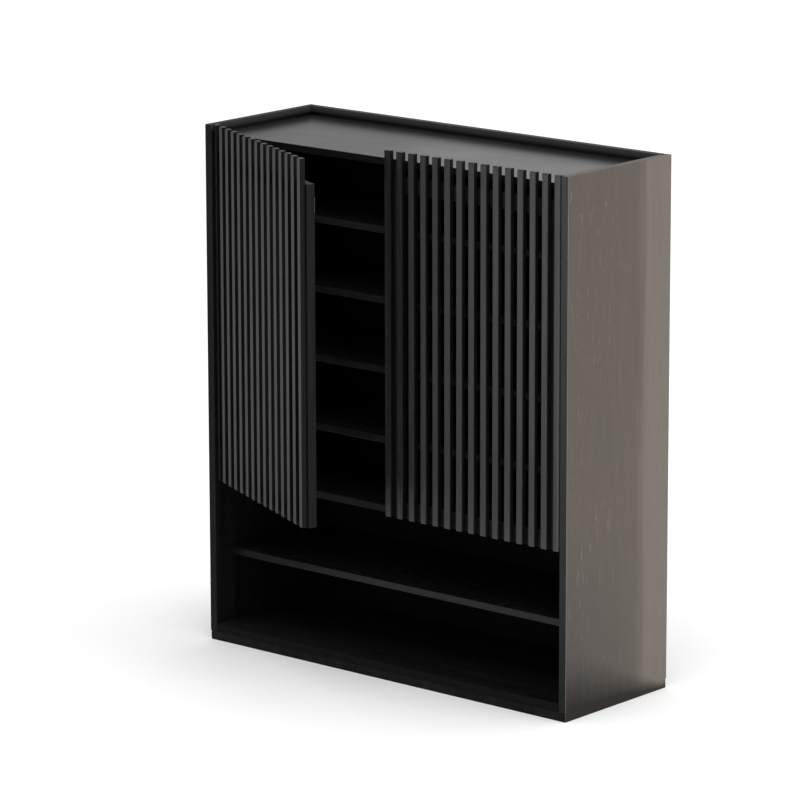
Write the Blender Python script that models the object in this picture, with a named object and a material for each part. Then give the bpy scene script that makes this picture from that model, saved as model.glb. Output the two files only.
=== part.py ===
"""Shoe cabinet with two slatted doors, open lower shelves and a sunken tray top.

Metres, +Z up.  The origin is on the floor plane at the centre of the plinth's
footprint.  The front faces -Y, +X is to the right when facing the front.
The left door stands ajar, the right door is shut.
"""
import math

import bmesh
import bpy
from mathutils import Vector

# ------------------------------------------------------------------ dimensions
WIDTH = 1.000               # outside of the side panels
DEPTH = 0.3425
HEIGHT = 1.149
SIDE_T = 0.018              # side panels, bottom panel, back rail, partition
BOARD_T = 0.015             # top panel and shelves
FIT = 0.0003                # gap between faces that touch

PLINTH_H = 0.020
PLINTH_INSET = 0.001
PLINTH_T = 0.018

BACK_T = 0.005
BACK_Y = 0.15655            # front face of the back panel
GROOVE_D = 0.006            # groove in the side panels for the back panel

RIM = 0.019                 # the tray top lies this far below the rim
TOP_FRONT = 0.014           # top panel's front edge behind the front plane
SHELF_FRONT = 0.042         # shelf front edges behind the front plane

FLOOR_Z = 0.3575            # underside of the floor of the closed compartment
SHELF_PITCH = 0.151         # compartment spacing above that floor
SHELF_COUNT = 4             # adjustable shelves on each side
OPEN_SHELF_Z = 0.190        # underside of the open shelf

SLAT_COUNT = 15             # slats on each door
SLAT_W = 0.016
SLAT_T = 0.012
SLAT_PITCH = 0.0325
DOOR_BOTTOM = 0.362
FRAME_TOP = 1.095
FRAME_T = 0.018
STILE_W = 0.050
RAIL_H = 0.036
DOOR_SIDE_GAP = 0.0025      # door edge to side panel
DOOR_CENTRE_GAP = 0.004     # between the two door frames
RELIEF_X = 0.0056           # chamfer on the hinge-side slat's outer edge
RELIEF_Y = 0.0067

PIVOT_IN = 0.0175           # hinge pin from the door's hinge edge
PIVOT_BACK = 0.0155         # hinge pin behind the front plane
LEFT_DOOR_OPEN = math.radians(25.0)
HINGE_Z = (0.4405, 1.0460)  # lower and upper hinge centres
HINGE_NAMES = ("lower", "upper")
STEEL_T = 0.0025

FRONT = -DEPTH / 2
BACK = DEPTH / 2
INNER = WIDTH / 2 - SIDE_T          # inner face of a side panel
DOOR_EDGE = INNER - DOOR_SIDE_GAP   # hinge edge of a shut door
PIVOT_X = DOOR_EDGE - PIVOT_IN
PIVOT_Y = FRONT + PIVOT_BACK
TOP_Z = HEIGHT - RIM                # surface of the tray
DOOR_FREE = DOOR_CENTRE_GAP / 2     # free edge of a shut door

# ------------------------------------------------------------------ clean start
for old in list(bpy.data.objects):
    bpy.data.objects.remove(old, do_unlink=True)


# ------------------------------------------------------------------ materials
def principled(name, colour, roughness, metallic=0.0):
    mat = bpy.data.materials.new(name)
    mat.use_nodes = True
    bsdf = mat.node_tree.nodes["Principled BSDF"]
    bsdf.inputs["Base Color"].default_value = (*colour, 1.0)
    bsdf.inputs["Roughness"].default_value = roughness
    bsdf.inputs["Metallic"].default_value = metallic
    mat.diffuse_color = (*colour, 1.0)
    return mat


PANEL_BLACK = (0.018, 0.017, 0.017)
SIDE_BROWN = (0.110, 0.094, 0.082)
SLAT_BLACK = (0.030, 0.029, 0.029)
BACK_BLACK = (0.012, 0.011, 0.011)
STEEL = (0.42, 0.42, 0.43)
CATCH_BLACK = (0.02, 0.02, 0.021)


def material_for(name, colour, roughness, metallic=0.0):
    return principled("mat_" + name, colour, roughness, metallic)


# ------------------------------------------------------------------ mesh helpers
def link(name, mesh, mat, parent=None, location=(0.0, 0.0, 0.0)):
    obj = bpy.data.objects.new(name, mesh)
    bpy.context.scene.collection.objects.link(obj)
    obj.location = location
    if parent is not None:
        obj.parent = parent
    if mat is not None:
        if len(mesh.materials) == 0:
            mesh.materials.append(mat)
        obj.material_slots[0].link = 'OBJECT'
        obj.material_slots[0].material = mat
    return obj


def mesh_from(bm, name):
    bmesh.ops.recalc_face_normals(bm, faces=bm.faces)
    mesh = bpy.data.meshes.new(name)
    bm.to_mesh(mesh)
    bm.free()
    return mesh


def prism(name, outline, low, high, axis="z"):
    """Extrude a closed outline; axis says which way the outline is pushed."""
    bm = bmesh.new()
    if axis == "z":
        ring = [bm.verts.new((a, b, low)) for a, b in outline]
        push = Vector((0, 0, high - low))
    elif axis == "y":
        ring = [bm.verts.new((a, low, b)) for a, b in outline]
        push = Vector((0, high - low, 0))
    else:
        ring = [bm.verts.new((low, a, b)) for a, b in outline]
        push = Vector((high - low, 0, 0))
    face = bm.faces.new(ring)
    out = bmesh.ops.extrude_face_region(bm, geom=[face])
    moved = [v for v in out["geom"] if isinstance(v, bmesh.types.BMVert)]
    bmesh.ops.translate(bm, verts=moved, vec=push)
    return mesh_from(bm, name)


def box_mesh(name, x0, x1, y0, y1, z0, z1):
    return prism(name, [(x0, y0), (x1, y0), (x1, y1), (x0, y1)], z0, z1)


def box(name, x0, x1, y0, y1, z0, z1, mat, parent=None):
    """A board: its object sits at the board's centre."""
    c = ((x0 + x1) / 2, (y0 + y1) / 2, (z0 + z1) / 2)
    mesh = box_mesh(name, x0 - c[0], x1 - c[0], y0 - c[1], y1 - c[1],
                    z0 - c[2], z1 - c[2])
    return link(name, mesh, mat, parent, c)


def cylinder_mesh(name, x, y, radius, z0, z1, sides=24):
    ring = [(x + radius * math.cos(2 * math.pi * i / sides),
             y + radius * math.sin(2 * math.pi * i / sides))
            for i in range(sides)]
    mesh = prism(name, ring, z0, z1)
    mesh.shade_smooth()
    mesh.set_sharp_from_angle(angle=math.radians(40))
    return mesh


def boolean(obj, mesh, operation, parent=None):
    """Join or cut obj with a guide solid, which isn't part of the model."""
    guide = bpy.data.objects.new("guide_" + mesh.name, mesh)
    bpy.context.scene.collection.objects.link(guide)
    guide.hide_render = True
    guide.display_type = 'WIRE'
    if parent is not None:
        guide.parent = parent
    mod = obj.modifiers.new(operation.lower(), 'BOOLEAN')
    mod.operation = operation
    mod.solver = 'EXACT'
    mod.object = guide
    return guide


# ------------------------------------------------------------------ carcass
def side_panel(name, side):
    """Side panel with the full-height groove that holds the back panel."""
    inner = side * INNER
    outer = side * WIDTH / 2
    deep = inner + side * GROOVE_D
    g0, g1 = BACK_Y - FIT, BACK_Y + BACK_T + FIT
    outline = [(outer, FRONT), (inner, FRONT), (inner, g0), (deep, g0),
               (deep, g1), (inner, g1), (inner, BACK), (outer, BACK)]
    mesh = prism(name, outline, PLINTH_H, HEIGHT)
    return link(name, mesh, material_for(name, SIDE_BROWN, 0.42))


side_panel("side_panel_left", -1)
side_panel("side_panel_right", 1)

span = INNER - FIT

# The top panel's front corners are relieved, so that the hinge-side slat can
# swing in past it.
notch_x = PIVOT_X + 0.001
notch_y = PIVOT_Y + math.hypot(PIVOT_IN, PIVOT_BACK - SLAT_T) + 0.0012
top_y0 = FRONT + TOP_FRONT
top_y1 = BACK - SIDE_T - FIT
top_mesh = prism("top_panel", [
    (-notch_x, top_y0), (notch_x, top_y0), (notch_x, notch_y), (span, notch_y),
    (span, top_y1), (-span, top_y1), (-span, notch_y), (-notch_x, notch_y)],
    TOP_Z - BOARD_T, TOP_Z)
link("top_panel", top_mesh, material_for("top_panel", PANEL_BLACK, 0.22))

box("back_rail", -span, span, BACK - SIDE_T, BACK, TOP_Z - BOARD_T, HEIGHT,
    material_for("back_rail", PANEL_BLACK, 0.30))
box("bottom_panel", -span, span, FRONT, BACK, PLINTH_H + FIT, PLINTH_H + SIDE_T,
    material_for("bottom_panel", PANEL_BLACK, 0.30))

shelf_y0 = FRONT + SHELF_FRONT
shelf_y1 = BACK_Y - FIT
box("compartment_floor", -span, span, shelf_y0, shelf_y1,
    FLOOR_Z, FLOOR_Z + BOARD_T, material_for("compartment_floor", PANEL_BLACK, 0.28))
box("open_shelf", -span, span, shelf_y0, shelf_y1,
    OPEN_SHELF_Z, OPEN_SHELF_Z + BOARD_T, material_for("open_shelf", PANEL_BLACK, 0.24))
box("centre_partition", -SIDE_T / 2, SIDE_T / 2, shelf_y0, shelf_y1,
    FLOOR_Z + BOARD_T + FIT, TOP_Z - BOARD_T - FIT,
    material_for("centre_partition", PANEL_BLACK, 0.30))
box("back_panel", -(INNER + GROOVE_D - FIT), INNER + GROOVE_D - FIT,
    BACK_Y, BACK_Y + BACK_T, PLINTH_H + SIDE_T + FIT, TOP_Z - BOARD_T - FIT,
    material_for("back_panel", BACK_BLACK, 0.55))

for side, word in ((-1, "left"), (1, "right")):
    for n in range(SHELF_COUNT):
        z0 = FLOOR_Z + SHELF_PITCH * (n + 1)
        x_in = side * (SIDE_T / 2 + FIT)
        x_out = side * span
        name = "shelf_%s_%d" % (word, n + 1)
        box(name, min(x_in, x_out), max(x_in, x_out), shelf_y0, shelf_y1,
            z0, z0 + BOARD_T, material_for(name, PANEL_BLACK, 0.28))

# Plinth: a frame with a middle bearer, a hair behind the faces above it.
px = WIDTH / 2 - PLINTH_INSET
py = DEPTH / 2 - PLINTH_INSET
plinth = link("plinth", box_mesh("plinth", -px, px, -py, py, 0.0, PLINTH_H - FIT),
              material_for("plinth", PANEL_BLACK, 0.40))
for side in (-1, 1):
    a = side * (SIDE_T / 2)
    b = side * (px - PLINTH_T)
    boolean(plinth, box_mesh("plinth_bay_%d" % (side + 1), min(a, b), max(a, b),
                             -py + PLINTH_T, py - PLINTH_T, -0.01, PLINTH_H + 0.01),
            'DIFFERENCE')

# Magnetic catches on the partition's front edge, one for each door.
for side, word in ((-1, "left"), (1, "right")):
    name = "magnetic_catch_" + word
    a, b = side * 0.0022, side * 0.0090
    box(name, min(a, b), max(a, b), FRONT + SLAT_T + FIT + FRAME_T + 0.0006,
        shelf_y0 - FIT, 1.030, 1.070, material_for(name, CATCH_BLACK, 0.45))


# ------------------------------------------------------------------ doors
def door(side, word, angle):
    """One door: frame, slats and hinge leaves around the hinge pin's axis.

    Everything is placed in the shut door's own axes, x and y from the pin,
    and the empty on the pin turns the whole door to where it stands.
    """
    axis = bpy.data.objects.new("door_%s_axis" % word, None)
    bpy.context.scene.collection.objects.link(axis)
    axis.location = (side * PIVOT_X, PIVOT_Y, 0.0)
    axis.rotation_euler = (0.0, 0.0, angle)
    axis.empty_display_size = 0.05

    def lx(x):                       # distance from the middle -> local x
        return side * (x - PIVOT_X)

    def span_x(a, b):
        return min(lx(a), lx(b)), max(lx(a), lx(b))

    y_front = -PIVOT_BACK
    y_frame = y_front + SLAT_T + FIT
    y_rear = y_frame + FRAME_T

    # frame: two stiles and two rails glued into one ladder frame
    name = "door_frame_" + word
    x0, x1 = span_x(DOOR_EDGE, DOOR_FREE)
    cz = (DOOR_BOTTOM + FRAME_TOP) / 2
    frame = link(name, box_mesh(name, x0, x1, y_frame, y_rear, DOOR_BOTTOM, FRAME_TOP),
                 material_for(name, SLAT_BLACK, 0.40), axis)
    w0, w1 = span_x(DOOR_EDGE - STILE_W, DOOR_FREE + STILE_W)
    boolean(frame, box_mesh(name + "_window", w0, w1, y_frame - 0.01, y_rear + 0.01,
                            DOOR_BOTTOM + RAIL_H, FRAME_TOP - RAIL_H),
            'DIFFERENCE', axis)
    for z, level in zip(HINGE_Z, HINGE_NAMES):
        p0, p1 = span_x(PIVOT_X - 0.0050, DOOR_EDGE + 0.010)
        boolean(frame, box_mesh("%s_pocket_%s" % (name, level), p0, p1,
                                y_frame - 0.01, y_rear + 0.01,
                                z - 0.0122, z + 0.0122),
                'DIFFERENCE', axis)

    # slats, numbered from the hinge
    z0, z1 = DOOR_BOTTOM, HEIGHT
    h = z1 - z0
    half = SLAT_W / 2
    plain = prism("slat", [(-half, 0), (half, 0), (half, SLAT_T), (-half, SLAT_T)],
                  -h / 2, h / 2)
    o = side * half                  # outer edge, next to the side panel
    relieved = prism("slat_relieved_" + word, [
        (-o, 0), (o - side * RELIEF_X, 0), (o, RELIEF_Y), (o, SLAT_T), (-o, SLAT_T)],
        -h / 2, h / 2)
    for k in range(SLAT_COUNT):
        sname = "slat_%s_%02d" % (word, k + 1)
        xc = DOOR_EDGE - half - SLAT_PITCH * k
        link(sname, relieved if k == 0 else plain.copy(),
             material_for(sname, SLAT_BLACK, 0.38), axis,
             (lx(xc), y_front, (z0 + z1) / 2))

    # hinge leaf: a plate on the stile's rear face, two ears and the riveted pin
    for z, level in zip(HINGE_Z, HINGE_NAMES):
        lname = "hinge_leaf_%s_%s" % (word, level)
        plate_y0 = y_rear + FIT
        plate_y1 = plate_y0 + STEEL_T
        e = side * 0.0165            # plate edge towards the side panel
        c = -side * 0.006            # closed end of the window
        outline = [(e, z - 0.028), (e, z - 0.0092), (c, z - 0.0092), (c, z + 0.0092),
                   (e, z + 0.0092), (e, z + 0.028), (-e, z + 0.028), (-e, z - 0.028)]
        leaf = link(lname, prism(lname, outline, plate_y0, plate_y1, axis="y"),
                    material_for(lname, STEEL, 0.30, 1.0), axis)
        for s, tag in ((-1, "a"), (1, "b")):
            ear = sorted((z + s * 0.0092, z + s * 0.0117))
            boolean(leaf, box_mesh("%s_ear_%s" % (lname, tag), -0.0045, 0.0045,
                                   -0.0029, plate_y0 + 0.0010, ear[0], ear[1]),
                    'UNION', axis)
        boolean(leaf, cylinder_mesh(lname + "_pin", 0.0, 0.0, 0.0020,
                                    z - 0.0110, z + 0.0110), 'UNION', axis)
    return axis


door(-1, "left", -LEFT_DOOR_OPEN)
door(1, "right", 0.0)


# ------------------------------------------------------------------ hinge arms
def hinge_arm(side, word, z, level):
    """Strap from the side panel to the pin: plate, elbow, arm and knuckle."""
    name = "hinge_arm_%s_%s" % (word, level)
    cx, cy = side * PIVOT_X, PIVOT_Y
    wall = side * (INNER - FIT)
    t = STEEL_T
    half = t / 2
    y_elbow = FRONT + SHELF_FRONT + 0.0010
    # strap outline seen from above: arm towards the back, then across to the wall
    outline = [(cx - side * half, cy), (cx + side * half, cy),
               (cx + side * half, y_elbow), (wall, y_elbow),
               (wall, y_elbow + t), (cx - side * half, y_elbow + t)]
    arm = link(name, prism(name, outline, z - 0.0085, z + 0.0085),
               material_for(name, STEEL, 0.30, 1.0))
    x_plate = sorted((wall, wall - side * t))
    boolean(arm, box_mesh(name + "_plate", x_plate[0], x_plate[1],
                          y_elbow + 0.0004, FRONT + 0.095, z - 0.020, z + 0.020),
            'UNION')
    boolean(arm, cylinder_mesh(name + "_knuckle", cx, cy, 0.0035,
                               z - 0.00865, z + 0.00865), 'UNION')
    boolean(arm, cylinder_mesh(name + "_bore", cx, cy, 0.0023,
                               z - 0.020, z + 0.020), 'DIFFERENCE')
    return arm


for side, word in ((-1, "left"), (1, "right")):
    for z, level in zip(HINGE_Z, HINGE_NAMES):
        hinge_arm(side, word, z, level)
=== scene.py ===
"""Looks for the shoe cabinet: materials, rounded edges, small hardware, light and camera."""

import math

import bmesh
import bpy
from mathutils import Matrix, Vector


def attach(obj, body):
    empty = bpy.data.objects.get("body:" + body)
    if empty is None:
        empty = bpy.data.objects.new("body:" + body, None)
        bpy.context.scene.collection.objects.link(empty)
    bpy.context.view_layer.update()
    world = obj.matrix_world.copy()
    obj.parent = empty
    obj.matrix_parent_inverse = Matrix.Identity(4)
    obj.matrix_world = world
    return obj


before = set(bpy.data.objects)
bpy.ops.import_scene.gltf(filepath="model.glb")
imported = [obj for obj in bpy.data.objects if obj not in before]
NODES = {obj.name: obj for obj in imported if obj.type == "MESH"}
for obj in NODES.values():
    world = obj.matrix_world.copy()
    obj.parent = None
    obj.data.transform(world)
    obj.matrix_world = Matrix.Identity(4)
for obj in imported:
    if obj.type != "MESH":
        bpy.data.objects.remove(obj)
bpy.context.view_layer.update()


# =============================================================== node helpers
class Graph:
    """A small wrapper that places and joins shader nodes."""

    def __init__(self, name):
        self.mat = bpy.data.materials.new(name)
        self.mat.use_nodes = True
        self.tree = self.mat.node_tree
        self.bsdf = self.tree.nodes["Principled BSDF"]
        self.coord = self.tree.nodes.new("ShaderNodeTexCoord")

    def node(self, kind, **props):
        n = self.tree.nodes.new(kind)
        for k, v in props.items():
            setattr(n, k, v)
        return n

    def join(self, a, b):
        self.tree.links.new(a, b)

    def mapping(self, scale, location=(0, 0, 0), rotation=(0, 0, 0), source=None):
        m = self.node("ShaderNodeMapping")
        m.inputs["Scale"].default_value = scale
        m.inputs["Location"].default_value = location
        m.inputs["Rotation"].default_value = rotation
        self.join(source or self.coord.outputs["Object"], m.inputs["Vector"])
        return m.outputs["Vector"]

    def noise(self, vector, scale, detail=4.0, rough=0.55, distortion=0.0):
        n = self.node("ShaderNodeTexNoise")
        n.inputs["Scale"].default_value = scale
        n.inputs["Detail"].default_value = detail
        n.inputs["Roughness"].default_value = rough
        n.inputs["Distortion"].default_value = distortion
        self.join(vector, n.inputs["Vector"])
        return n.outputs["Fac"]

    def wave(self, vector, scale, distortion, detail=2.0, detail_scale=1.0, direction="X"):
        n = self.node("ShaderNodeTexWave", wave_type="BANDS", bands_direction=direction,
                      wave_profile="SIN")
        n.inputs["Scale"].default_value = scale
        n.inputs["Distortion"].default_value = distortion
        n.inputs["Detail"].default_value = detail
        n.inputs["Detail Scale"].default_value = detail_scale
        self.join(vector, n.inputs["Vector"])
        return n.outputs["Fac"]

    def ramp(self, fac, stops, interpolation="LINEAR"):
        n = self.node("ShaderNodeValToRGB")
        n.color_ramp.interpolation = interpolation
        els = n.color_ramp.elements
        while len(els) < len(stops):
            els.new(0.5)
        for e, (p, c) in zip(els, stops):
            e.position = p
            e.color = (c, c, c, 1) if isinstance(c, (int, float)) else (*c, 1)
        self.join(fac, n.inputs["Fac"])
        return n.outputs["Color"]

    def span(self, value, low, high, to_low=0.0, to_high=1.0):
        n = self.node("ShaderNodeMapRange", clamp=True)
        n.inputs["From Min"].default_value = low
        n.inputs["From Max"].default_value = high
        n.inputs["To Min"].default_value = to_low
        n.inputs["To Max"].default_value = to_high
        self.join(value, n.inputs["Value"])
        return n.outputs["Result"]

    def math(self, op, a, b=None, clamp=False):
        n = self.node("ShaderNodeMath", operation=op, use_clamp=clamp)
        for i, v in enumerate((a, b)):
            if v is None:
                continue
            if isinstance(v, (int, float)):
                n.inputs[i].default_value = v
            else:
                self.join(v, n.inputs[i])
        return n.outputs[0]

    def mix(self, fac, a, b, blend="MIX"):
        n = self.node("ShaderNodeMix", data_type="RGBA", blend_type=blend)
        slots = {"Factor": 0, "A": 6, "B": 7}
        for key, v in (("Factor", fac), ("A", a), ("B", b)):
            s = n.inputs[slots[key]]
            if isinstance(v, (int, float)):
                s.default_value = v
            elif isinstance(v, tuple):
                s.default_value = (*v, 1) if len(v) == 3 else v
            else:
                self.join(v, s)
        return n.outputs[2]

    def axis(self, which):
        s = self.node("ShaderNodeSeparateXYZ")
        self.join(self.coord.outputs["Object"], s.inputs[0])
        return s.outputs[which]

    def bump(self, height, strength, distance, under=None):
        n = self.node("ShaderNodeBump")
        n.inputs["Strength"].default_value = strength
        n.inputs["Distance"].default_value = distance
        self.join(height, n.inputs["Height"])
        if under is not None:
            self.join(under, n.inputs["Normal"])
        return n.outputs["Normal"]


def along(axis, across, lengthways):
    """Scale of a texture that is stretched along one axis."""
    s = [across, across, across]
    s["XYZ".index(axis)] = lengthways
    return tuple(s)


# colour of the painted light on the inner faces of the tray rim
RIM_PAINTED_LIGHT = (0.0430, 0.0413, 0.0408)


def wood_black(name, axis="Z", base=(0.0070, 0.0066, 0.0066), lift=1.7, rough=0.34,
               shift=0.0, pores=0.35, spec=0.24, strip=None, flank_tone=(0.40, 0.75, 0.13, 0.0013),
               edge=None, cap=None, rim=False):
    """Black-stained wood foil: faint lengthways grain, open pores, satin lacquer.

    strip = (across, middle, half width): a slat whose two sides are matt and darker; flank_tone sets their tone,
    which also carries painted shade and painted light.
    edge = (y, darker): a board whose front edge is painted darker and duller than its faces: painted shade, set per
    board.
    cap = height above which the cut top end is dull.
    rim = True: a tray rim with painted shade where it meets the tray and painted light towards its top.
    """
    g = Graph(name)
    off = (shift * 1.37, shift * 2.11, shift * 0.73)
    fibre = g.noise(g.mapping(along(axis, 260, 9), off), 1.0, 4, 0.6)
    figure = g.noise(g.mapping(along(axis, 42, 2.4), off), 1.0, 4, 0.55, 0.4)
    broad = g.noise(g.mapping(along(axis, 9, 1.2), off), 1.0, 2, 0.5)
    pore = g.noise(g.mapping(along(axis, 900, 26), off), 1.0, 3, 0.7)
    dark = tuple(c * 0.62 for c in base)
    light = tuple(c * lift for c in base)
    mid = g.mix(g.span(figure, 0.36, 0.66), dark, light)
    col = g.mix(g.span(fibre, 0.35, 0.68, 0.0, 0.55), mid, base)
    col = g.mix(g.span(broad, 0.35, 0.65, 0.0, 0.35), col, light)
    hole = g.span(pore, 0.62, 0.72)
    col = g.mix(g.math("MULTIPLY", hole, pores), col, tuple(c * 0.3 for c in base))
    r = g.math("ADD", g.span(fibre, 0.3, 0.7, rough - 0.05, rough + 0.07),
               g.span(broad, 0.3, 0.7, -0.02, 0.03))
    g.bsdf.inputs["Specular IOR Level"].default_value = spec
    if strip is not None:
        across, middle, half = strip
        dot = g.node("ShaderNodeVectorMath", operation="DOT_PRODUCT")
        g.join(g.coord.outputs["Object"], dot.inputs[0])
        dot.inputs[1].default_value = across
        off_mid = g.math("ABSOLUTE", g.math("SUBTRACT", dot.outputs["Value"], middle))
        # the slat sides: a darker matt finish; the tone set by flank_tone differs per door and for the last slats
        # of the right door, as painted shade and painted light
        deep, pale, dull, reach = flank_tone
        flank = g.span(off_mid, half - reach, half + 0.0001)
        col = g.mix(flank, col, g.mix(g.span(fibre, 0.3, 0.7), tuple(c * deep for c in base),
                                      tuple(c * pale for c in base)))
        r = g.math("ADD", r, g.math("MULTIPLY", flank, 0.16))
        g.join(g.span(flank, 0.0, 1.0, spec, dull), g.bsdf.inputs["Specular IOR Level"])
        if cap is not None:
            end = g.math("GREATER_THAN", g.axis("Z"), cap)
            level = g.math("SUBTRACT", g.span(flank, 0.0, 1.0, spec, dull),
                           g.math("MULTIPLY", end, g.span(flank, 0.0, 1.0, spec - 0.12, 0.0)))
            g.join(level, g.bsdf.inputs["Specular IOR Level"])
    if rim:
        z = g.axis("Z")
        # painted shade low on the rim's inner face, painted light towards its top
        col = g.mix(g.span(z, 1.1345, 1.1440), tuple(c * 0.30 for c in base),
                    g.mix(g.span(fibre, 0.3, 0.7), RIM_PAINTED_LIGHT, tuple(c * 1.25 for c in RIM_PAINTED_LIGHT)))
        crest = g.math("GREATER_THAN", z, 1.1486)
        col = g.mix(crest, col, base)
        g.join(g.span(crest, 0.0, 1.0, spec, 0.07), g.bsdf.inputs["Specular IOR Level"])
    # painted shade on the front edge: a darker colour and less sheen
    if edge is not None:
        front, darker = edge
        lip = g.math("LESS_THAN", g.axis("Y"), front)
        col = g.mix(lip, col, g.mix(g.span(fibre, 0.3, 0.7), tuple(c * 0.35 for c in base),
                                    tuple(c * 0.80 for c in base)))
        g.join(g.span(lip, 0.0, 1.0, spec, spec * darker), g.bsdf.inputs["Specular IOR Level"])
    g.join(col, g.bsdf.inputs["Base Color"])
    g.join(r, g.bsdf.inputs["Roughness"])
    relief = g.math("SUBTRACT", fibre, g.math("MULTIPLY", hole, 0.6))
    g.join(g.bump(relief, 0.10, 0.00006), g.bsdf.inputs["Normal"])
    return g.mat


def wood_side(name, face=0.49935, edge_spec=(0.38, 0.38), inner_spec=0.14,
              crest=((0.0070, 0.0066, 0.0064), 0.07)):
    """Side panel: grey-brown upright grain outside, black foil on the other faces."""
    g = Graph(name)
    x, y, z = g.axis("X"), g.axis("Y"), g.axis("Z")
    outer = g.math("GREATER_THAN", g.math("ABSOLUTE", x), face)
    # brown face: long arches, short upright flecks, fine fibre and pores
    sway = g.noise(g.mapping((0.6, 3.0, 0.9)), 1.0, 3, 0.55)
    bent = g.node("ShaderNodeCombineXYZ")
    g.join(g.math("ADD", y, g.math("MULTIPLY", sway, 0.16)), bent.inputs["Y"])
    g.join(g.math("MULTIPLY", g.math("ADD", z, -0.32), 0.085), bent.inputs["Z"])
    arches = g.node("ShaderNodeTexWave", wave_type="RINGS", rings_direction="X",
                    wave_profile="SAW")
    arches.inputs["Scale"].default_value = 11.0
    arches.inputs["Distortion"].default_value = 2.6
    arches.inputs["Detail"].default_value = 4.0
    arches.inputs["Detail Scale"].default_value = 3.0
    g.join(bent.outputs[0], arches.inputs["Vector"])
    stream = g.noise(g.mapping((46, 46, 2.6)), 1.0, 5, 0.62, 0.5)
    fine = g.noise(g.mapping((360, 360, 15)), 1.0, 4, 0.62)
    flecks = g.noise(g.mapping((125, 125, 10)), 1.0, 3, 0.6, 0.9)
    dashes = g.noise(g.mapping((230, 230, 24), (0.7, 2.3, 1.9)), 1.0, 2, 0.5, 0.4)
    clouds = g.noise(g.mapping((5, 5, 2.2)), 1.0, 3, 0.5)
    pore = g.noise(g.mapping((1000, 1000, 40)), 1.0, 2, 0.6)
    zones = g.noise(g.mapping((2, 13, 0.9), (0.3, 1.4, 0.2)), 1.0, 3, 0.5, 0.25)
    specks = g.noise(g.mapping((150, 150, 19), (2.2, 0.4, 3.1)), 1.0, 3, 0.6, 1.0)
    c0 = (0.086, 0.069, 0.056)
    c1 = (0.129, 0.106, 0.086)
    c2 = (0.163, 0.136, 0.109)
    brown = g.mix(g.span(stream, 0.28, 0.72), c0, c1)
    brown = g.mix(g.span(zones, 0.38, 0.62, 0.0, 0.50), brown, (0.149, 0.125, 0.100))
    brown = g.mix(g.span(arches.outputs["Fac"], 0.10, 0.95, 0.0, 0.26), brown, c2)
    brown = g.mix(g.span(fine, 0.45, 0.70, 0.0, 0.20), brown, c0)
    brown = g.mix(g.span(flecks, 0.57, 0.68, 0.0, 0.36), brown, c2)
    brown = g.mix(g.span(dashes, 0.62, 0.72, 0.0, 0.36), brown, (0.063, 0.052, 0.044))
    brown = g.mix(g.span(clouds, 0.36, 0.66, 0.0, 0.40), brown, (0.117, 0.093, 0.083))
    hole = g.span(pore, 0.60, 0.72)
    brown = g.mix(g.math("MULTIPLY", hole, 0.20), brown, (0.045, 0.037, 0.031))
    # a pale strip towards the back (painted light) and a shade deeper towards the front (painted shade), with pale
    # ticks in the grain there
    front = g.span(y, 0.15, -0.165)
    edge_y = g.math("ADD", y, g.span(stream, 0.3, 0.7, -0.008, 0.008))
    brown = g.mix(g.span(edge_y, 0.060, 0.094, 0.0, 0.22), brown, (0.205, 0.178, 0.150))
    brown = g.mix(g.math("ADD", g.span(edge_y, 0.094, 0.060, 0.0, 0.58),
                         g.span(y, 0.06, -0.15, 0.0, 0.16)), brown, (0.061, 0.0460, 0.0362))
    tick = g.math("MULTIPLY", g.span(specks, 0.61, 0.75), g.span(y, 0.085, -0.05, 0.06, 0.62))
    brown = g.mix(tick, brown, (0.215, 0.190, 0.160))
    # painted shade low on the outer face: a wedge that is deepest at the bottom front corner
    low = g.math("MULTIPLY", g.span(z, 0.42, 0.02), g.span(y, 0.10, -0.165, 0.0, 0.80))
    brown = g.mix(g.math("MULTIPLY", low, g.span(clouds, 0.3, 0.7, 0.85, 1.0)), brown,
                  (0.032, 0.027, 0.024))
    reach = g.math("ADD", g.math("MULTIPLY", front, 0.120), 0.016)
    depth = g.math("DIVIDE", z, g.math("MULTIPLY", reach, g.span(stream, 0.3, 0.7, 0.85, 1.15)))
    low_corner_shade = g.span(depth, 1.15, 0.25, 0.0, 0.92)
    brown = g.mix(low_corner_shade, brown, (0.018, 0.015, 0.013))
    # painted highlight: a pale line along the front edge of the outer face
    front_edge_glint = g.math("MULTIPLY", g.math("LESS_THAN", y, -0.16985), 0.55)
    brown = g.mix(front_edge_glint, brown, (0.190, 0.166, 0.140))
    # black faces
    b_fine = g.noise(g.mapping((260, 260, 9), (3.1, 1.7, 0.4)), 1.0, 6, 0.62)
    b_fig = g.noise(g.mapping((42, 42, 2.4), (1.1, 4.7, 0.9)), 1.0, 4, 0.55, 0.4)
    black = g.mix(g.span(b_fig, 0.36, 0.66), (0.0045, 0.0043, 0.0043), (0.0120, 0.0115, 0.0112))
    black = g.mix(g.span(b_fine, 0.35, 0.68, 0.0, 0.5), black, (0.0075, 0.0070, 0.0070))
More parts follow.
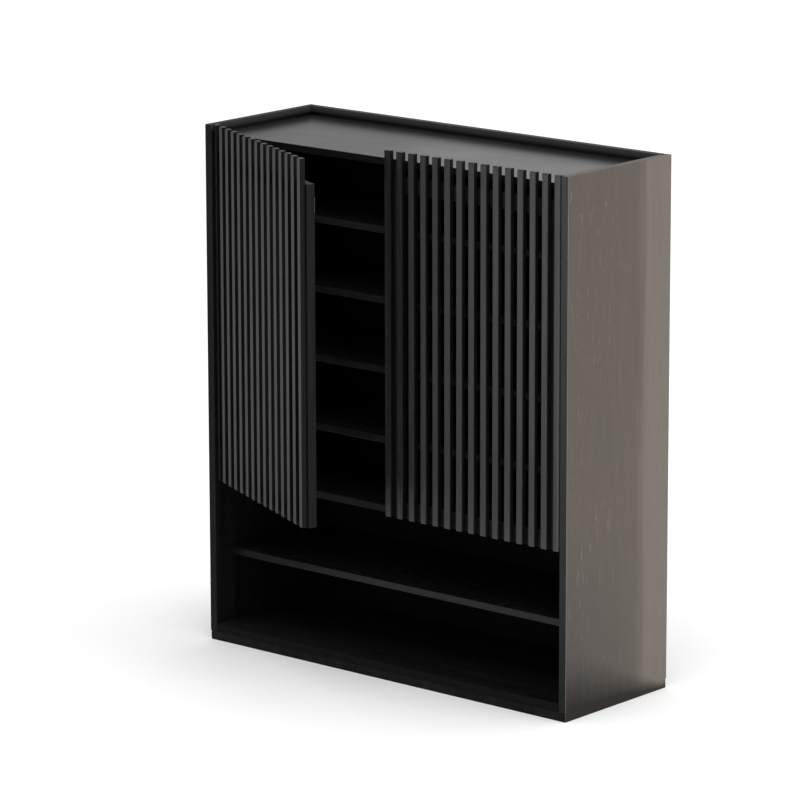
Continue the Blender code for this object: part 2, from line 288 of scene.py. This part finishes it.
    # inside of the tray rim: painted shade where it meets the tray and painted light above it; the top edge is
    # coloured on its own
    inner = g.math("LESS_THAN", g.math("ABSOLUTE", x), 0.4825)
    rim_painted_light = g.math("MULTIPLY", inner, g.span(z, 1.1345, 1.1440))
    rim_base_shade = g.math("MULTIPLY", inner, g.span(z, 1.1295, 1.1300, 0.0, 0.7))
    black = g.mix(rim_base_shade, black, (0.0020, 0.0019, 0.0019))
    black = g.mix(rim_painted_light, black, g.mix(g.span(b_fine, 0.3, 0.7), RIM_PAINTED_LIGHT,
                                     tuple(c * 1.25 for c in RIM_PAINTED_LIGHT)))
    # the top edge's colour and sheen come from crest; on the right panel they are a painted highlight
    top_edge = g.math("GREATER_THAN", z, 1.14875)
    black = g.mix(top_edge, black, g.mix(g.span(fine, 0.3, 0.7), tuple(c * 0.9 for c in crest[0]),
                                         tuple(c * 1.1 for c in crest[0])))
    col = g.mix(outer, black, brown)
    g.join(col, g.bsdf.inputs["Base Color"])
    r_out = g.span(fine, 0.3, 0.7, 0.46, 0.60)
    r_in = g.span(b_fine, 0.3, 0.7, 0.33, 0.45)
    rough = g.math("ADD", g.math("MULTIPLY", outer, r_out),
                   g.math("MULTIPLY", g.math("SUBTRACT", 1.0, outer), r_in))
    g.join(rough, g.bsdf.inputs["Roughness"])
    # the front edge's sheen grows with height, given by edge_spec: painted shade towards the bottom
    lip = g.math("LESS_THAN", y, -0.16985)
    edge_sheen_shade = g.span(z, 0.05, 1.05, edge_spec[0], edge_spec[1])
    dull = g.math("ADD", inner_spec, g.math("MULTIPLY", lip,
                                            g.math("SUBTRACT", edge_sheen_shade, inner_spec)))
    dull = g.math("ADD", dull, g.math("MULTIPLY", top_edge, g.math("SUBTRACT", crest[1], dull)))
    # the outer face loses sheen inside the painted shade of the bottom front corner
    sheen = g.math("SUBTRACT", g.math("ADD", dull, g.math("MULTIPLY", outer,
                                      g.math("SUBTRACT", 0.50, dull))),
                   g.math("MULTIPLY", g.math("MULTIPLY", low_corner_shade, outer), 0.42))
    g.join(sheen, g.bsdf.inputs["Specular IOR Level"])
    relief = g.math("SUBTRACT", fine, g.math("MULTIPLY", hole, 0.7))
    g.join(g.bump(relief, 0.25, 0.0001), g.bsdf.inputs["Normal"])
    return g.mat


def satin_black(name, rough=0.20, base=(0.0134, 0.0117, 0.0102), axis="X", shift=0.0, top=1.1296):
    """Smooth black lacquered board, as on the sunken top."""
    g = Graph(name)
    off = (shift, shift * 0.6, shift * 1.9)
    fibre = g.noise(g.mapping(along(axis, 210, 6), off), 1.0, 5, 0.6)
    cloud = g.noise(g.mapping((5, 5, 5), off), 1.0, 3, 0.5)
    peel = g.noise(g.mapping((160, 160, 160), off), 1.0, 2, 0.5)
    col = g.mix(g.span(fibre, 0.32, 0.7), tuple(c * 0.8 for c in base), tuple(c * 1.3 for c in base))
    col = g.mix(g.span(cloud, 0.35, 0.65, 0.0, 0.3), col, tuple(c * 1.45 for c in base))
    face = g.math("GREATER_THAN", g.axis("Z"), top)
    col = g.mix(face, (0.0060, 0.0056, 0.0054), col)
    g.join(g.span(face, 0.0, 1.0, 0.22, 0.50), g.bsdf.inputs["Specular IOR Level"])
    g.join(col, g.bsdf.inputs["Base Color"])
    r = g.math("ADD", g.span(cloud, 0.3, 0.7, rough - 0.02, rough + 0.03),
               g.span(fibre, 0.3, 0.7, -0.02, 0.03))
    g.join(r, g.bsdf.inputs["Roughness"])
    h = g.math("ADD", g.math("MULTIPLY", fibre, 0.6), g.math("MULTIPLY", peel, 0.4))
    g.join(g.bump(h, 0.08, 0.00006), g.bsdf.inputs["Normal"])
    return g.mat


def board_back(name):
    """Thin back board: matt black print with a faint mottled texture."""
    g = Graph(name)
    mottle = g.noise(g.mapping((90, 90, 14)), 1.0, 5, 0.6)
    cloud = g.noise(g.mapping((6, 6, 3)), 1.0, 3, 0.5)
    grit = g.noise(g.mapping((700, 700, 700)), 1.0, 2, 0.6)
    col = g.mix(g.span(mottle, 0.32, 0.7), (0.0020, 0.0019, 0.0019), (0.0048, 0.0046, 0.0046))
    col = g.mix(g.span(cloud, 0.35, 0.65, 0.0, 0.4), col, (0.0036, 0.0035, 0.0036))
    g.bsdf.inputs["Specular IOR Level"].default_value = 0.10
    g.join(col, g.bsdf.inputs["Base Color"])
    g.join(g.span(mottle, 0.3, 0.7, 0.52, 0.66), g.bsdf.inputs["Roughness"])
    g.join(g.bump(g.math("ADD", g.math("MULTIPLY", mottle, 0.5), g.math("MULTIPLY", grit, 0.5)),
                  0.25, 0.0004), g.bsdf.inputs["Normal"])
    return g.mat


def steel(name, axis="Z", tint=(0.46, 0.46, 0.47), rough=0.28):
    """Nickel-plated pressed steel with fine rolling marks and light handling wear."""
    g = Graph(name)
    lines = g.noise(g.mapping(along(axis, 2400, 60)), 1.0, 3, 0.6)
    wear = g.noise(g.mapping((85, 85, 85)), 1.0, 4, 0.6)
    col = g.mix(g.span(wear, 0.35, 0.7), tuple(c * 0.82 for c in tint), tint)
    g.join(col, g.bsdf.inputs["Base Color"])
    g.bsdf.inputs["Metallic"].default_value = 1.0
    r = g.math("ADD", g.span(lines, 0.3, 0.7, rough - 0.06, rough + 0.08),
               g.span(wear, 0.3, 0.7, -0.03, 0.06))
    g.join(r, g.bsdf.inputs["Roughness"])
    g.join(g.bump(lines, 0.15, 0.0002), g.bsdf.inputs["Normal"])
    return g.mat


def plastic(name, base=(0.022, 0.022, 0.023), rough=0.42):
    """Moulded plastic with a fine spark-eroded grain."""
    g = Graph(name)
    grain = g.noise(g.mapping((1500, 1500, 1500)), 1.0, 2, 0.6)
    cloud = g.noise(g.mapping((60, 60, 60)), 1.0, 3, 0.5)
    g.join(g.mix(g.span(cloud, 0.35, 0.65), tuple(c * 0.85 for c in base),
                 tuple(c * 1.2 for c in base)), g.bsdf.inputs["Base Color"])
    g.join(g.span(grain, 0.3, 0.7, rough - 0.05, rough + 0.08), g.bsdf.inputs["Roughness"])
    g.join(g.bump(grain, 0.18, 0.0002), g.bsdf.inputs["Normal"])
    return g.mat


# =============================================================== mesh helpers
def soften(obj, width, segments=2):
    """Round a CAD board's edges with modifiers; its own mesh stays as it is."""
    if "custom_normal" in obj.data.attributes:
        obj.data.attributes.remove(obj.data.attributes["custom_normal"])
    obj.data.shade_flat()
    w = obj.modifiers.new("weld", "WELD")
    w.merge_threshold = 0.00002
    d = obj.modifiers.new("planar", "DECIMATE")
    d.decimate_type = "DISSOLVE"
    d.angle_limit = math.radians(0.5)
    b = obj.modifiers.new("round", "BEVEL")
    b.width = width
    b.segments = segments
    b.limit_method = "ANGLE"
    b.angle_limit = math.radians(30)
    b.use_clamp_overlap = True
    b.harden_normals = False


def new_piece(name, bm, mat, body, smooth_angle=35):
    mesh = bpy.data.meshes.new(name)
    bmesh.ops.recalc_face_normals(bm, faces=bm.faces)
    bm.to_mesh(mesh)
    bm.free()
    mesh.shade_smooth()
    mesh.set_sharp_from_angle(angle=math.radians(smooth_angle))
    obj = bpy.data.objects.new(name, mesh)
    bpy.context.scene.collection.objects.link(obj)
    mesh.materials.append(mat)
    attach(obj, body)
    return obj


def set_material(obj, mat):
    obj.data.materials.clear()
    obj.data.materials.append(mat)


# =============================================================== carried-over boards
# the left panel's front edge gets less sheen than the right one's (painted shade), and the right panel's top edge a
# paler colour and more sheen (painted highlight)
for side in ("left", "right"):
    n = NODES["side_panel_" + side]
    set_material(n, wood_side("side_panel_%s_foil" % side,
                              edge_spec=(0.08, 0.27) if side == "left" else (0.15, 0.72),
                              crest=((0.0070, 0.0066, 0.0064), 0.07) if side == "left"
                              else ((0.066, 0.053, 0.046), 0.18)))
    soften(n, 0.00045, 2)

set_material(NODES["top_panel"], satin_black("top_panel_lacquer", 0.22))
soften(NODES["top_panel"], 0.0006)
# the back rail carries painted shade and painted light on its inner face (rim=True)
set_material(NODES["back_rail"], wood_black("back_rail_foil", "X", rough=0.34, shift=2.0, rim=True))
soften(NODES["back_rail"], 0.0007)
# the bottom board, compartment floor and open shelf get painted shade on their front edges, each of its own
# strength
set_material(NODES["bottom_panel"], wood_black("bottom_panel_foil", "X", rough=0.30, shift=5.0,
                                                      spec=0.20, edge=(-0.1698, 0.25)))
soften(NODES["bottom_panel"], 0.0006)
set_material(NODES["compartment_floor"], wood_black("compartment_floor_foil", "X", rough=0.28, shift=7.0,
                                                           edge=(-0.1291, 0.65)))
soften(NODES["compartment_floor"], 0.0006)
set_material(NODES["open_shelf"], wood_black("open_shelf_foil", "X", rough=0.24, shift=9.0,
                                                    edge=(-0.1291, 0.95)))
soften(NODES["open_shelf"], 0.0006)
set_material(NODES["centre_partition"], wood_black("centre_partition_foil", "Z", rough=0.34, shift=11.0))
soften(NODES["centre_partition"], 0.0006)
set_material(NODES["back_panel"], board_back("back_panel_print"))
soften(NODES["back_panel"], 0.0003, 1)
set_material(NODES["plinth"], wood_side("plinth_foil", 0.49855, (0.06, 0.06), 0.06))
soften(NODES["plinth"], 0.0005)
for side in ("left", "right"):
    for k in range(1, 5):
        n = NODES["shelf_%s_%d" % (side, k)]
        set_material(n, wood_black("shelf_%s_%d_foil" % (side, k), "X", rough=0.28,
                                   shift=20.0 + 3 * k + (11 if side == "left" else 0)))
        soften(n, 0.0006)
    n = NODES["magnetic_catch_" + side]
    set_material(n, plastic("magnetic_catch_%s_plastic" % side))
    soften(n, 0.0006)
    n = NODES["door_frame_" + side]
    set_material(n, wood_black("door_frame_%s_lacquer" % side, "Z", rough=0.38,
                               shift=40.0 if side == "left" else 50.0, spec=0.10))
    soften(n, 0.0008)
    turn = math.radians(25.0 if side == "left" else 0.0)
    sign = -1 if side == "left" else 1
    across = (math.cos(turn), -math.sin(turn), 0.0)
    pin = (sign * 0.462) * across[0] - 0.15575 * across[1]
    for k in range(1, 16):
        n = NODES["slat_%s_%02d" % (side, k)]
        middle = pin + sign * (0.4715 - 0.0325 * (k - 1) - 0.462)
        # the slat sides get different tones on the two doors and on the right door's slats 11 to 15: painted shade
        # and painted light on one finish
        set_material(n, wood_black("slat_%s_%02d_lacquer" % (side, k), "Z",
                                   base=(0.0080, 0.0076, 0.0075), rough=0.26,
                                   shift=60.0 + 7.3 * k + (3.1 if side == "left" else 0),
                                   spec=0.80, strip=(across, middle, 0.0077),
                                   cap=max(v.co.z for v in n.data.vertices) - 0.0012,
                                   flank_tone=(0.40, 0.75, 0.13, 0.0016) if side == "left"
                                   else (0.80, 1.30, 0.26, 0.0015) if k < 11
                                   else (0.60, 1.10, 0.12, 0.0026)))
        soften(n, 0.0009 if k in (1, 13, 14, 15) else 0.0014, 3)
    for level in ("lower", "upper"):
        for kind in ("arm", "leaf"):
            n = NODES["hinge_%s_%s_%s" % (kind, side, level)]
            set_material(n, steel("hinge_%s_%s_%s_nickel" % (kind, side, level)))
            soften(n, 0.00035)

# =============================================================== small hardware
HALF_D = 0.17125
INNER = 0.5 - 0.018
PIVOT = Vector((0.462, -0.15575, 0.0))
HINGES = (0.4405, 1.0460)


def door_place(side):
    """Matrix from a shut door's own axes at the pin to where the door stands."""
    turn = Matrix.Rotation(math.radians(-25.0), 4, "Z") if side < 0 else Matrix.Identity(4)
    return Matrix.Translation((side * PIVOT.x, PIVOT.y, 0.0)) @ turn


def lathe(bm, profile, matrix, sides=20):
    """Turn a profile of (radius, height) about local Z; the ends close on the axis."""
    rings = []
    for radius, height in profile:
        if radius < 1e-7:
            rings.append([bm.verts.new(matrix @ Vector((0, 0, height)))])
        else:
            rings.append([bm.verts.new(matrix @ Vector((radius * math.cos(2 * math.pi * i / sides),
                                                        radius * math.sin(2 * math.pi * i / sides),
                                                        height))) for i in range(sides)])
    for a, b in zip(rings, rings[1:]):
        for i in range(sides):
            j = (i + 1) % sides
            if len(a) == 1:
                bm.faces.new((a[0], b[i], b[j]))
            elif len(b) == 1:
                bm.faces.new((a[i], b[0], a[j]))
            else:
                bm.faces.new((a[i], b[i], b[j], a[j]))


def screw(bm, matrix, radius=0.0032, height=0.0013):
    """Low pan head with a cross recess: the recess is a sunken four-armed star."""
    sides = 32
    star = []
    for i in range(sides):
        t = 2 * math.pi * i / sides
        c = abs(math.cos(2 * t))
        star.append(radius * (0.16 + 0.40 * c ** 6))
    levels = [("round", radius, 0.0), ("round", radius, height * 0.35),
              ("round", radius * 0.90, height * 0.80), ("round", radius * 0.72, height),
              ("star", 1.0, height), ("star", 0.8, height * 0.35)]
    rings = []
    for kind, value, h in levels:
        ring = []
        for i in range(sides):
            t = 2 * math.pi * i / sides
            r = value if kind == "round" else star[i] * value
            ring.append(bm.verts.new(matrix @ Vector((r * math.cos(t), r * math.sin(t), h))))
        rings.append(ring)
    for a, b in zip(rings, rings[1:]):
        for i in range(sides):
            j = (i + 1) % sides
            bm.faces.new((a[i], a[j], b[j], b[i]))
    bm.faces.new(list(reversed(rings[0])))
    bm.faces.new(rings[-1])


def slab(bm, low, high, matrix=Matrix.Identity(4), round_by=0.0):
    """A small plate with its upright edges rounded."""
    made = bmesh.ops.create_cube(bm, size=1.0)
    size = Vector(high) - Vector(low)
    mid = (Vector(high) + Vector(low)) / 2
    for v in made["verts"]:
        v.co = matrix @ (Vector((v.co.x * size.x, v.co.y * size.y, v.co.z * size.z)) + mid)
    if round_by:
        edges = {e for v in made["verts"] for e in v.link_edges}
        bmesh.ops.bevel(bm, geom=list(edges), offset=round_by, segments=2, affect="EDGES",
                        profile=0.5)


def facing(direction):
    return Vector(direction).to_track_quat("Z", "Y").to_matrix().to_4x4()


for side, word in ((-1, "left"), (1, "right")):
    # screws that hold the wall plates of the hinge arms
    bm = bmesh.new()
    x = side * (INNER - 0.0003 - 0.0025)
    for z in HINGES:
        for dy, dz in ((0.058, 0.0125), (0.058, -0.0125), (0.085, 0.0)):
            at = Matrix.Translation((x, -HALF_D + dy, z + dz)) @ facing((-side, 0, 0))
            screw(bm, at @ Matrix.Rotation(0.3 + 9 * dz + 4 * dy + z, 4, "Z"), 0.0034, 0.0014)
    new_piece("arm_screws_" + word, bm, steel("arm_screws_%s_zinc" % word, tint=(0.40, 0.40, 0.41)),
              "cabinet")
    # screws that hold the leaves on the door stiles
    place = door_place(side)
    bm = bmesh.new()
    for z in HINGES:
        for dx, dz in ((0.0095, 0.0205), (-0.0095, 0.0205), (0.0095, -0.0205), (-0.0095, -0.0205)):
            at = place @ Matrix.Translation((dx, 0.0176, z + dz)) @ facing((0, 1, 0))
            screw(bm, at @ Matrix.Rotation(0.5 + 40 * dx + 17 * dz, 4, "Z"), 0.0030, 0.0012)
    new_piece("leaf_screws_" + word, bm, steel("leaf_screws_%s_zinc" % word, tint=(0.40, 0.40, 0.41)),
              "door_" + word)
    # strike plate for the magnetic catch, on the free stile
    bm = bmesh.new()
    free = side * (0.002 - PIVOT.x)
    a, b = free + side * 0.0005, free + side * 0.0125
    slab(bm, (min(a, b), 0.0148, 1.034), (max(a, b), 0.0148 + 0.00035, 1.066), place, 0.00012)
    new_piece("strike_plate_" + word, bm, steel("strike_plate_%s_steel" % word, rough=0.34),
              "door_" + word)
    # shelf pins: a peg with a collar under each shelf corner
    bm = bmesh.new()
    for n in range(4):
        under = 0.3575 + 0.151 * (n + 1)
        for y in (-0.095, 0.115):
            for wall_x, out in ((side * INNER, -side), (side * 0.009, side)):
                at = Matrix.Translation((wall_x, y, under - 0.0034)) @ facing((out, 0, 0))
                lathe(bm, ((0, 0.0), (0.0045, 0.0), (0.0045, 0.0012), (0.0030, 0.0016),
                           (0.0030, 0.0085), (0.0024, 0.0092), (0, 0.0092)), at)
    new_piece("shelf_pins_" + word, bm, steel("shelf_pins_%s_nickel" % word, "X"),
              "cabinet", 30)
    # pole strips let into the face of the catch
    bm = bmesh.new()
    for cx in (0.0040, 0.0072):
        x0, x1 = sorted((side * (cx - 0.0005), side * (cx + 0.0005)))
        slab(bm, (x0, -HALF_D + 0.0309 - 0.00015, 1.033), (x1, -HALF_D + 0.0309 + 0.001, 1.067))
    new_piece("catch_poles_" + word, bm, steel("catch_poles_%s_steel" % word, rough=0.36),
              "cabinet")

# =============================================================== stage, light, camera
def stage_mesh(name, bm, mat):
    mesh = bpy.data.meshes.new(name)
    bm.to_mesh(mesh)
    bm.free()
    obj = bpy.data.objects.new(name, mesh)
    bpy.context.scene.collection.objects.link(obj)
    mesh.materials.append(mat)
    return obj


fg = Graph("floor_paint")
fn = fg.noise(fg.mapping((3, 3, 3)), 1.0, 2, 0.5)
fg.join(fg.mix(fg.span(fn, 0.3, 0.7), (0.94, 0.94, 0.94), (0.96, 0.96, 0.96)),
        fg.bsdf.inputs["Base Color"])
fg.bsdf.inputs["Roughness"].default_value = 0.85
bm = bmesh.new()
for x, y in ((-30, -30), (30, -30), (30, 30), (-30, 30)):
    bm.verts.new((x, y, 0.0))
bm.faces.new(bm.verts)
stage_mesh("floor", bm, fg.mat)

def flag(name, corners, grey):
    """A grey studio card that only shows up in reflections."""
    mat = bpy.data.materials.new(name)
    mat.use_nodes = True
    tree = mat.node_tree
    glow = tree.nodes.new("ShaderNodeEmission")
    glow.inputs["Color"].default_value = (1, 1, 1, 1)
    glow.inputs["Strength"].default_value = grey
    tree.links.new(glow.outputs[0], tree.nodes["Material Output"].inputs["Surface"])
    bm = bmesh.new()
    bm.faces.new([bm.verts.new(c) for c in corners])
    card = stage_mesh(name, bm, mat)
    card.visible_camera = False
    card.visible_diffuse = False
    card.visible_shadow = False
    return card


flag("card_left", ((-2.2, -0.75, 0.01), (-2.2, 1.4, 0.01), (-2.2, 1.4, 1.3), (-2.2, -0.75, 1.3)), 0.42)
flag("card_left_low", ((-0.62, -0.9, 0.008), (-0.62, 1.4, 0.008), (-2.2, 1.4, 0.008), (-2.2, -0.9, 0.008)), 0.36)
flag("card_front", ((-1.33, -2.0, 0.01), (-3.4, -2.0, 0.01), (-3.4, -2.0, 1.7), (-1.33, -2.0, 1.7)), 0.03)
flag("card_front_low", ((-0.59, -1.1, 0.012), (-3.4, -1.1, 0.012), (-3.4, -2.0, 0.012), (-1.33, -2.0, 0.012)), 0.03)
flag("card_front_floor", ((-0.58, -1.1, 0.009), (-1.32, -2.0, 0.009), (0.3, -2.0, 0.009), (0.3, -1.1, 0.009)), 0.42)
flag("card_back", ((-6.0, 3.0, 0.0), (-2.65, 3.0, 0.0), (-2.65, 3.0, 3.2), (-6.0, 3.0, 3.2)), 0.52)
flag("card_back_pale", ((-2.55, 3.0, 0.0), (-0.4, 3.0, 0.0), (-0.4, 3.0, 3.2), (-2.55, 3.0, 3.2)), 0.72)

world = bpy.data.worlds.new("studio")
bpy.context.scene.world = world
world.use_nodes = True
world.node_tree.nodes["Background"].inputs["Color"].default_value = (1.0, 1.0, 1.0, 1)
world.node_tree.nodes["Background"].inputs["Strength"].default_value = 0.62


def area(name, location, target, size, power, colour=(1, 1, 1)):
    data = bpy.data.lights.new(name, "AREA")
    data.shape = "RECTANGLE"
    data.size, data.size_y = size
    data.energy = power
    data.color = colour
    obj = bpy.data.objects.new(name, data)
    bpy.context.scene.collection.objects.link(obj)
    obj.location = location
    aim = Vector(target) - Vector(location)
    obj.rotation_euler = aim.to_track_quat("-Z", "Y").to_euler()
    return obj


sun_data = bpy.data.lights.new("overhead", "SUN")
sun_data.energy = 2.0
sun_data.angle = math.radians(70)
sun = bpy.data.objects.new("overhead", sun_data)
bpy.context.scene.collection.objects.link(sun)
sun.rotation_euler = (math.radians(8), math.radians(14), 0)
area("side", (4.2, 0.2, 2.4), (0.5, 0, 0.6), (2.0, 2.4), 20)

cam_data = bpy.data.cameras.new("camera")
cam_data.sensor_width = 36.0
cam_data.lens = 4798.75 / 800.0 * 36.0
cam_data.clip_start = 0.1
cam_data.clip_end = 100.0
cam = bpy.data.objects.new("camera", cam_data)
bpy.context.scene.collection.objects.link(cam)
az, el, roll = math.radians(40.593), math.radians(12.922), math.radians(-0.138)
fw = Vector((-math.sin(az) * math.cos(el), math.cos(az) * math.cos(el), -math.sin(el)))
right = Vector((math.cos(az), math.sin(az), 0.0))
up = right.cross(fw)
r = right * math.cos(roll) + up * math.sin(roll)
u = -right * math.sin(roll) + up * math.cos(roll)
cam.matrix_world = Matrix(((r.x, u.x, -fw.x, 6.4520), (r.y, u.y, -fw.y, -7.64185),
                           (r.z, u.z, -fw.z, 2.8781), (0, 0, 0, 1)))
bpy.context.scene.camera = cam
bpy.context.scene.view_settings.view_transform = "Standard"
